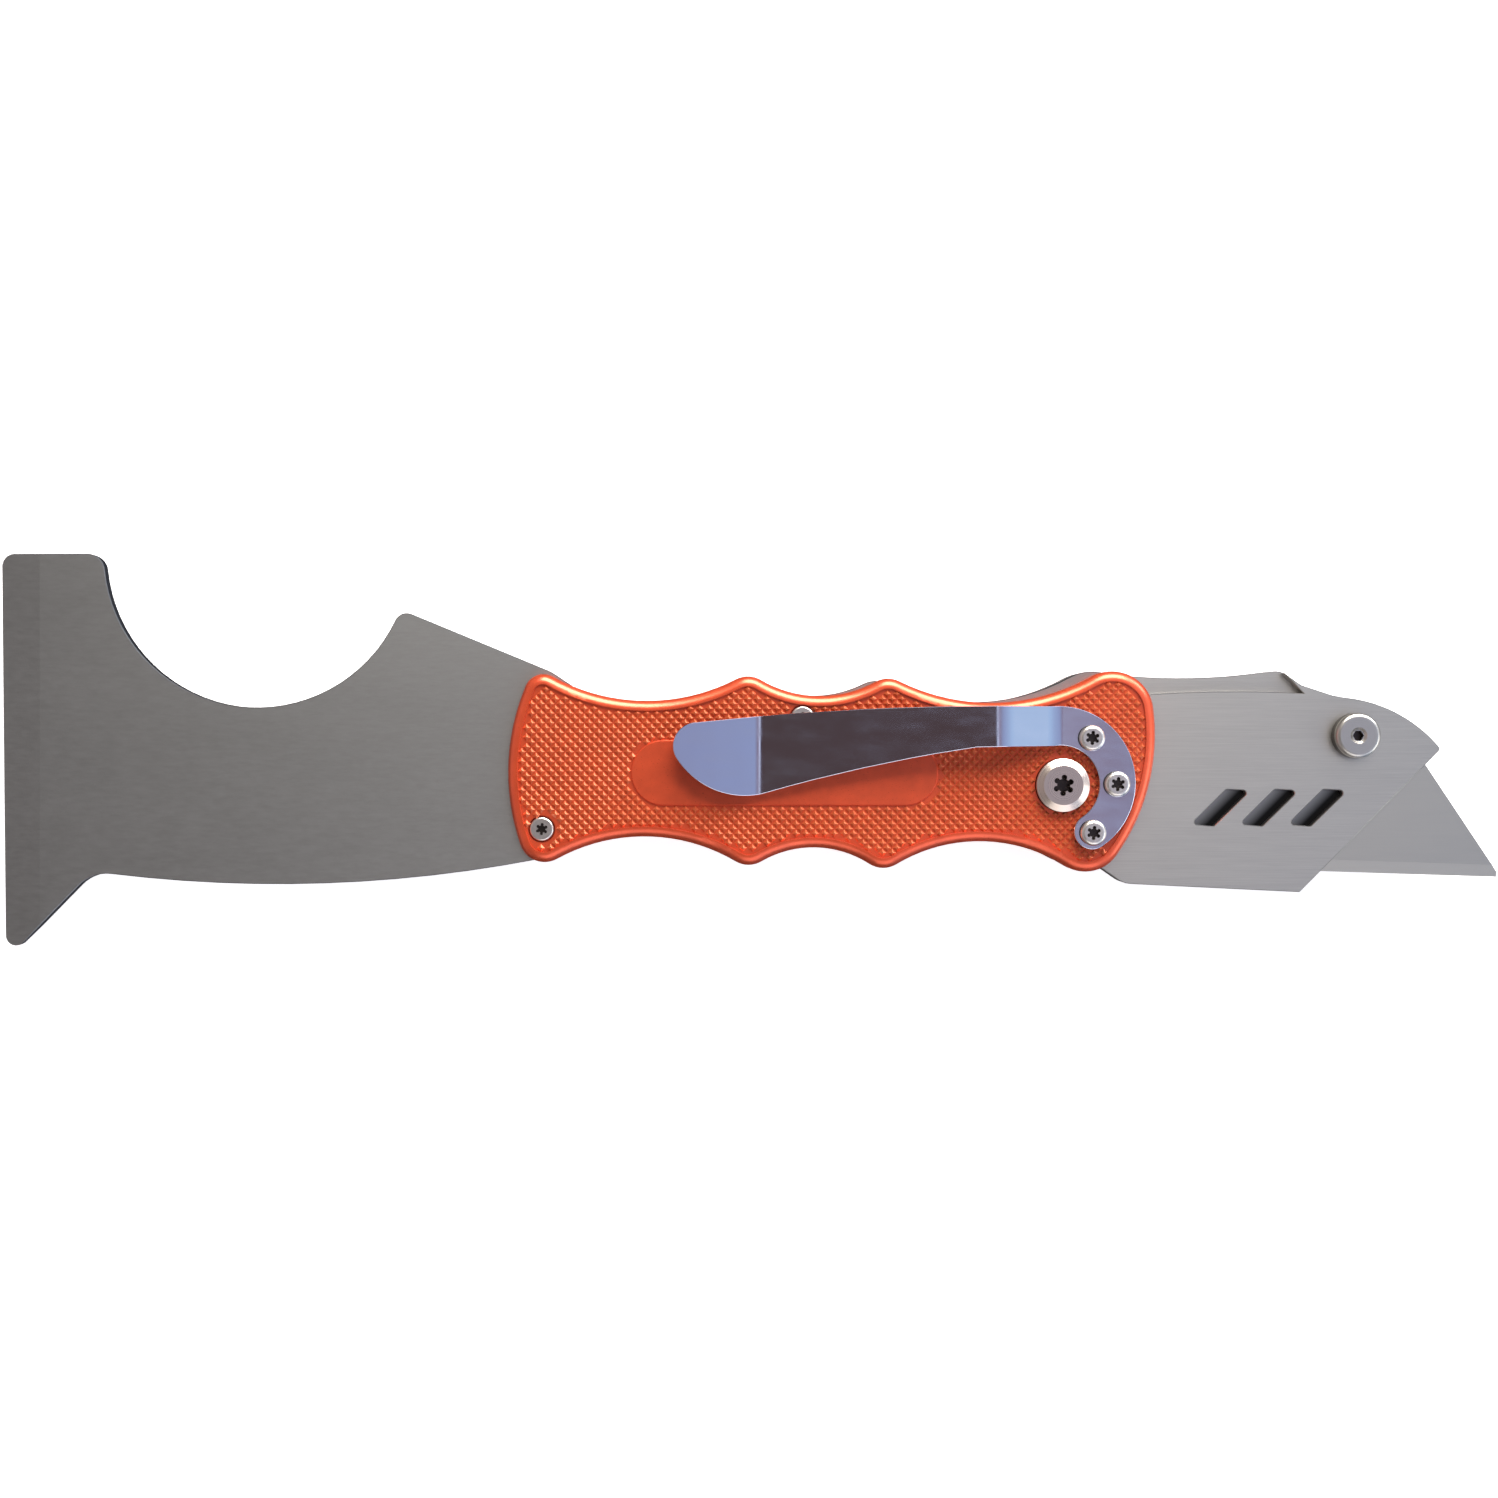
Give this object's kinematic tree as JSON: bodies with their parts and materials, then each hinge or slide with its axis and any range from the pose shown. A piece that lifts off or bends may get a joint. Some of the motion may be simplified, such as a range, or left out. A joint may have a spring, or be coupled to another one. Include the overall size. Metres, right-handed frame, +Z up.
{
  "type": "painters multi tool",
  "caption": "Pocket painters tool: a scraper with a roller-cleaning notch at one end, a knurled handle with a clip, and a folding utility-knife head at the other.",
  "frame": {"origin": "centre of the handle on the rear scale's outer face, which the tool rests on", "axes": "+X along the tool from the scraper to the knife head, +Y across the handle towards its spine, +Z up through the layers from the rear scale to the clip"},
  "size_m": [0.2357, 0.0614, 0.0194],
  "materials": {
    "scraper_steel": "fine satin",
    "orange_anodised": "satin anodised, knurled",
    "liner_steel": "satin",
    "screw_steel": "turned",
    "washer_bronze": "satin",
    "clip_steel": "polished",
    "jaw_steel": "brushed along the tool",
    "blade_steel": "ground"
  },
  "bodies": {
    "handle": {"scraper_blade": "scraper_steel", "front_scale": "orange_anodised", "rear_scale": "orange_anodised", "lock_liner": "liner_steel", "back_spacer": "liner_steel", "end_standoff": "screw_steel", "mid_standoff": "screw_steel", "stop_pin": "screw_steel", "pivot_sleeve": "screw_steel", "pivot_screw": "screw_steel", "rear_pivot_screw": "screw_steel", "front_washer": "washer_bronze", "rear_washer": "washer_bronze", "front_body_screws": "screw_steel", "rear_body_screws": "screw_steel", "pocket_clip": "clip_steel", "clip_screws": "screw_steel"},
    "knife": {"rear_jaw": "jaw_steel", "front_jaw": "jaw_steel", "jaw_spacer": "liner_steel", "utility_blade": "blade_steel", "blade_key_pins": "screw_steel", "jaw_rivets": "screw_steel", "clamp_nut": "screw_steel"},
    "lock_leaf": {"lock_leaf": "liner_steel", "detent_ball": "liner_steel"},
    "clamp_knob": {"clamp_knob": "screw_steel"}
  },
  "joints": [
    {"name": "knife_fold", "type": "hinge", "parent": "handle", "child": "knife", "pos_m": [0.0356, -0.0023, 0.0075], "axis": [0, 0, -1], "range_deg": [0, 166], "deforming": ["lock_leaf", "detent_ball"]},
    {"name": "lock_leaf_press", "type": "hinge", "parent": "handle", "child": "lock_leaf", "pos_m": [-0.0079, -0.009, 0.0046], "axis": [0, 1, 0], "range_deg": [0, 1.8], "stiffness_Nm_per_rad": 1, "springref_deg": -5.73},
    {"name": "clamp_knob_turn", "type": "hinge", "parent": "knife", "child": "clamp_knob", "pos_m": [0.0825, 0.0054, 0.0095], "axis": [0, 0, 1], "range_deg": [0, 720]}
  ]
}
